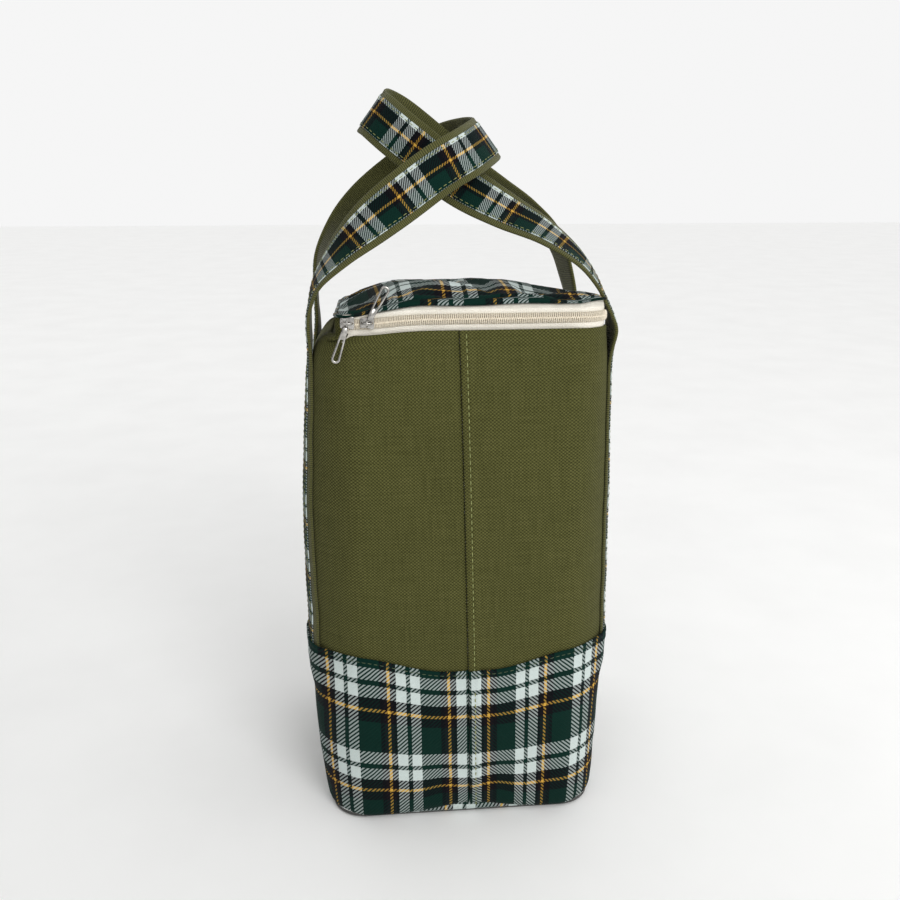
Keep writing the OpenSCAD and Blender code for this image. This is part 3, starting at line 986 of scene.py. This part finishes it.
def strap_piece(kind, side, half_w, low, high, edge, material):
    label = "left" if side < 0 else "right"
    nodes = [n % (label, kind) for n in ("handle_%s_%s", "strap_%s_near_%s", "strap_%s_far_%s")]
    profile = band_section(half_w, low, high, edge)
    rows, lengths = strap_rows(side, profile)
    if side < 0:
        rows = [row[::-1] for row in rows]
        profile = profile[::-1]
    uvs = [[(length, half_w - a) for a, _ in profile] for length in lengths]
    obj = grid(kind + "_" + label, rows, material, uvs, caps=True)
    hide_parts(*nodes)
    finish_strap(obj)


def finish_strap(obj):
    """Bakes the strap's placement into its mesh."""
    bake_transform(obj)


# Form of one stitch: share of its length, size and lift in thread radii
STITCH_FORM = ((0.0, 0.35, -0.5), (0.12, 0.85, 0.1), (0.5, 1.0, 0.45), (0.88, 0.85, 0.1), (1.0, 0.35, -0.5))
STITCH_SIDES = 6


def stitches(lines, length, gap, radius, name, material):
    """Rows of short raised threads. lines are polylines of (point, outward)."""
    verts, faces = [], []
    for line in lines:
        travelled, target = 0.0, 0.0
        ends = []
        for (a, a_out), (b, b_out) in zip(line, line[1:]):
            step = (b - a).length
            while target <= travelled + step and step > 0:
                t = (target - travelled) / step
                ends.append((a.lerp(b, t), a_out.lerp(b_out, t)))
                target += length if len(ends) % 2 else gap
            travelled += step
        for (p, p_out), (q, q_out) in zip(ends[::2], ends[1::2]):
            direction = q - p
            if direction.length < 1e-6:
                continue
            direction.normalize()
            out = ((p_out + q_out) * 0.5).normalized()
            sideways = direction.cross(out).normalized()
            first = len(verts)
            for share, size, lift in STITCH_FORM:
                centre = p.lerp(q, share) + out * radius * lift
                for c in range(STITCH_SIDES):
                    a = math.tau * c / STITCH_SIDES
                    verts.append(centre + (sideways * math.cos(a) + out * math.sin(a)) * radius * size)
            last = len(verts) - STITCH_SIDES
            for a, b in ring_edges(first, last, STITCH_SIDES):
                faces.append((a, a + STITCH_SIDES, b + STITCH_SIDES, b))
            faces.append(tuple(range(first, first + STITCH_SIDES)))
            faces.append(tuple(range(len(verts) - 1, last - 1, -1)))
    return make_object(name, verts, faces, material)


for side, label in SIDES:
    strap_piece("webbing", side, WEBBING_W / 2, -WEB_T, WEB_T, 0.7 * MM, WEBBING)
    strap_piece("ribbon", side, RIBBON_W / 2, WEB_T - 0.1 * MM, WEB_T + 0.75 * MM, 0.5 * MM,
                RIBBON_CLOTH)
    lines = []
    for across in (-RIBBON_W / 2 + 1.6 * MM, RIBBON_W / 2 - 1.6 * MM):
        surface, _ = strap_rows(side, [(across, WEB_T + 0.7 * MM), (across, WEB_T + 1.7 * MM)])
        lines.append([(row[0], (row[1] - row[0]).normalized()) for row in surface])
    thread = stitches(lines, 2.6 * MM, 1.2 * MM, 0.24 * MM, "strap_thread_" + label, THREAD)
    finish_strap(thread)


# ---- Seam, hem and band stitching ----

def wall_line(places, side, lift):
    """Points on the wall with the way out from it, at places given as (s, z)."""
    line = []
    for s, z in places:
        a = body_point(s, z, lift + seam_lift(s, z, side))
        b = body_point(s, z, lift + 1 * MM + seam_lift(s, z, side))
        line.append((a, (b - a).normalized()))
    return line


seam_lines = []
for at in (SEAM_STITCH, SIDE_LEN - SEAM_STITCH):
    canvas_seam = [(at, z) for z in levels(BAND_H + 1 * MM, BODY_H - 2 * MM, 1.5 * MM)]
    band_seam = [(at, z) for z in levels(9 * MM, BAND_H - 6 * MM, 1.5 * MM)]
    seam_lines += [wall_line(canvas_seam, 1, 0.0), wall_line(band_seam, 1, BAND_LIFT)]
seam_thread = stitches(seam_lines, 3.0 * MM, 1.2 * MM, 0.36 * MM, "seam_thread", THREAD)
place(seam_thread, "bag", "canvas")

hem_lines = []
for side, _ in SIDES:
    hem = [(side * s, band_top(s) - 3 * MM) for s in SPACING]
    hem_lines.append(wall_line(hem, side, BAND_LIFT + 0.15 * MM))
hem_thread = stitches(hem_lines, 2.6 * MM, 1.3 * MM, 0.26 * MM, "hem_thread", HEM_THREAD)
place(hem_thread, "bag", "canvas")


# ---- Sliders, pulls, stops and carried-over pieces ----

ROUND = [math.tau * k / 10 for k in range(10)]


def drop_loop(half_top, half_end, top, end):
    """Outline of a long drop in X and Z: a small half circle on top and a larger one below."""
    loop = []
    for i in range(40):
        a = math.tau * i / 40
        r, z = (half_end, end + half_end) if math.sin(a) < 0 else (half_top, top - half_top)
        loop.append((r * math.cos(a), z + r * math.sin(a)))
    return loop


def tube_mesh(name, path, radius, material):
    """Round wire along a path."""
    rows = []
    for i, p in enumerate(path):
        t = (path[min(i + 1, len(path) - 1)] - path[max(i - 1, 0)]).normalized()
        across = t.cross(Vector((0.0, 1.0, 0.0)))
        if across.length < 0.1:
            across = t.cross(Vector((0.0, 0.0, 1.0)))
        across.normalize()
        up = across.cross(t)
        rows.append([p + (across * math.cos(a) + up * math.sin(a)) * radius for a in ROUND])
    return grid(name, rows, material, caps=True)


def slab(name, shape, y_front, y_back, rim, material):
    """A flat plate in X and Z with its edges rounded over by rim."""
    cx = sum(p[0] for p in shape) / len(shape)
    cz = sum(p[1] for p in shape) / len(shape)

    def ring(shrink, y):
        line = []
        for x, z in shape:
            k = 1 - shrink / math.hypot(x - cx, z - cz)
            line.append(Vector((cx + (x - cx) * k, y, cz + (z - cz) * k)))
        return line

    rows = [ring(rim * 2.6, y_front), ring(rim, y_front + rim * 0.12), ring(rim * 0.3, y_front + rim * 0.45),
            ring(0.0, y_front + rim), ring(0.0, y_back - rim), ring(rim * 0.3, y_back - rim * 0.3),
            ring(rim, y_back)]
    return grid(name, [row[::-1] for row in rows], material, caps=True)


def joined(name, objects):
    mesh = bmesh.new()
    for obj in objects:
        mesh.from_mesh(obj.data)
    mesh.to_mesh(objects[0].data)
    mesh.free()
    for obj in objects[1:]:
        bpy.data.objects.remove(obj)
    objects[0].name = name
    return objects[0]


def fine_outline(points):
    """The closed outline with four new points on each of its curved edges."""
    fine = []
    for i in range(len(points)):
        a, b, c, d = (points[(i + k - 1) % len(points)] for k in range(4))
        for k in range(5):
            fine.append(tuple(between(a[m], b[m], c[m], d[m], k / 5) for m in (0, 1)))
    return fine


# Sliders and pulls sit a little under their place in the frame, on the drooping zip
SLIDER_LOW = 1.2 * MM
# Lower half of a slider plate's outline, in millimetres from its middle; the upper half mirrors it
SLIDER_HALF = [(-4.1, 0), (-4.0, -2.2), (-3.2, -2.9), (-1.2, -2.8), (0.8, -3.1), (2.6, -3.7), (3.8, -3.5),
               (4.2, -2.2), (4.2, 0)]
SLIDER_SHAPE = fine_outline(SLIDER_HALF + [(x, -z) for x, z in reversed(SLIDER_HALF[1:-1])])
HALF_TURN = [math.pi * i / 14 for i in range(15)]


def slider_piece(label):
    node = "slider_%s_body" % label
    low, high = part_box(node)
    cx = (low[0] + high[0]) / 2
    front = COIL_FRONT - 0.4 * MM
    level = ZIP_Z - SLIDER_LOW
    shape = [(cx + x * MM, level + z * MM) for x, z in SLIDER_SHAPE]
    plate = slab("plate", shape, front - 1.2 * MM, front, 0.35 * MM, METAL)
    back = slab("back", shape, COIL_FRONT + 2.5 * MM, COIL_FRONT + 3.4 * MM, 0.3 * MM, METAL)
    arch = [Vector((cx + 3.1 * MM * math.cos(a), front - 0.8 * MM - 2.9 * MM * math.sin(a) ** 0.7, level))
            for a in HALF_TURN]
    bridge = tube_mesh("bridge", arch, 0.68 * MM, METAL)
    place(joined("slider_" + label, [plate, back, bridge]), "slider_" + label, "zip_metal", node)


def pull_piece(label, turn_plane, turn_up):
    """Drop-shaped pull on an eye, in millimetres from the eye's middle, turned aside and lifted."""
    pivot = joint_place("pull_%s_swing" % label) - Vector((0, 0, SLIDER_LOW))
    outer = drop_loop(1.7, 2.7, -1.9, -24.0)
    inner = drop_loop(1.0, 1.35, -9.6, -22.5)
    loops = []
    for (ox, oz), (ix, iz) in zip(outer, inner):
        dx, dz = ix - ox, iz - oz
        reach = math.hypot(dx, dz)
        rim = min(0.35, reach * 0.3)
        rx, rz = dx / reach * rim, dz / reach * rim
        front = [(ox, -0.2, oz), (ox + rx, -0.55, oz + rz), (ix - rx, -0.55, iz - rz), (ix, -0.2, iz)]
        loops.append([Vector(p) for p in front] + [Vector((x, -y, z)) for x, y, z in reversed(front)])
    tab = grid("tab", loops + loops[:1], METAL)
    rows = []
    for i in range(23):
        turn = math.tau * i / 22
        out = Vector((0, math.cos(turn), math.sin(turn)))
        rows.append([out * (1.62 + 0.55 * math.cos(a)) + Vector((0.55 * math.sin(a), 0, 0)) for a in ROUND])
    eye = grid("eye", rows, METAL)
    piece = joined("pull_" + label, [tab, eye])
    for v in piece.data.vertices:
        x, y, z = v.co
        if math.hypot(y, z) > 1.0 and z < 0:
            share = smooth((-z - 1.2) / 1.2)
            a = turn_plane * share
            x, z = x * math.cos(a) + z * math.sin(a), -x * math.sin(a) + z * math.cos(a)
        y, z = y * math.cos(turn_up) - z * math.sin(turn_up), y * math.sin(turn_up) + z * math.cos(turn_up)
        v.co = pivot + Vector((x, y, z)) * MM
    place(piece, "pull_" + label, "zip_metal", "pull_%s_tab" % label)


slider_piece("a")
slider_piece("b")
pull_piece("a", math.radians(19), 0.0)
pull_piece("b", math.radians(-30), math.radians(176))

for label, at in (("near", ZIP_START + 1.2 * MM), ("far", ZIP_END - 1.2 * MM)):
    wire = [zip_point(at, ZIP_Z + 2.1 * math.cos(a) * MM, (0.4 + 1.7 * math.sin(a) ** 0.6) * MM)
            for a in HALF_TURN]
    stop = tube_mesh("zip_stop_wire_" + label, wire, 0.62 * MM, METAL)
    place(stop, "bag", "zip_metal", "zip_stop_" + label)


# The board and the foam under the liner keep their frame shapes
for node, material in (("base_board", BOARD), ("base_foam", FOAM)):
    materials = frame["nodes"][node].data.materials
    materials.clear()
    materials.append(material)


# ---- Stage, light and camera ----

def stage_sheet(name, corners, material):
    make_object(name, corners, [(0, 1, 2, 3)], material)


stage_sheet("floor", [(-6, -4, 0), (6, -4, 0), (6, 8, 0), (-6, 8, 0)], FLOOR)

# Dark cards give the metal something to reflect
for name, at, width in (("card_left", -0.75, 0.5), ("card_right", 0.45, 0.35)):
    end = at + width
    stage_sheet(name, [(at, -2.1, 0.1), (end, -2.1, 0.1), (end, -2.1, 1.5), (at, -2.1, 1.5)], BOARD)
stage_sheet("card_side", [(-1.1, -1.3, 0.05), (-1.1, 0.3, 0.05), (-1.1, 0.3, 1.2), (-1.1, -1.3, 1.2)], BOARD)

key_data = bpy.data.lights.new("key", "AREA")
key_data.size = 0.9
key_data.energy = 17
key = bpy.data.objects.new("key", key_data)
key.location = (0.7, -1.7, 1.25)
aim = Vector((0, 0, 0.25))
key.rotation_euler = (aim - key.location).to_track_quat("-Z", "Y").to_euler()
bpy.context.scene.collection.objects.link(key)

world = bpy.data.worlds.new("studio")
world.use_nodes = True
background = world.node_tree.nodes["Background"]
background.inputs["Color"].default_value = (1, 1, 1, 1)
background.inputs["Strength"].default_value = 0.92
bpy.context.scene.world = world
bpy.context.scene.view_settings.view_transform = "Standard"

camera_data = bpy.data.cameras.new("camera")
camera_data.sensor_width = 36
camera_data.lens = 37.08
camera = bpy.data.objects.new("camera", camera_data)
camera.location = (-0.0614, -0.6225, 0.4158)
camera.rotation_euler = (math.radians(90 - 16.42), 0, math.radians(-5.5))
bpy.context.scene.collection.objects.link(camera)
bpy.context.scene.camera = camera
